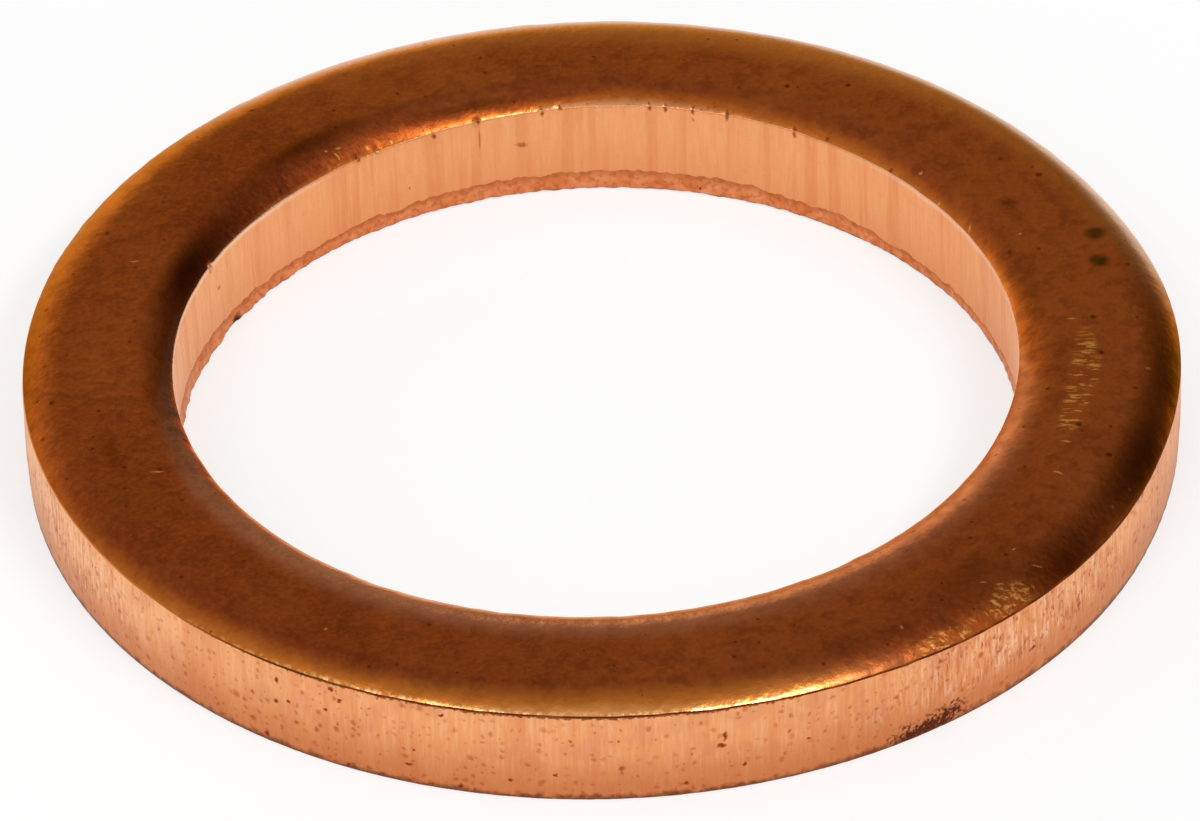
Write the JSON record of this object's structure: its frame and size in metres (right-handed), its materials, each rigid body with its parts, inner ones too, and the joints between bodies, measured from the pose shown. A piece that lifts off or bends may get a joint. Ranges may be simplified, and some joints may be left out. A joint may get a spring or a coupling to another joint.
{
  "type": "copper crush washer",
  "caption": "Flat copper sealing ring blanked from sheet, with rolled top edges, sheared walls and a torn foot, crushed under a plug or banjo bolt head.",
  "frame": {"origin": "centre of the ring on its bottom face", "axes": "+Z along the ring's axis, towards the face with the rolled edges; the ring is round, so +X and +Y are free"},
  "size_m": [0.0195, 0.0194, 0.002],
  "materials": {
    "copper": "oxidised brown satin faces with bright sheared walls"
  },
  "bodies": {
    "root": {"washer": "copper"}
  },
  "joints": []
}
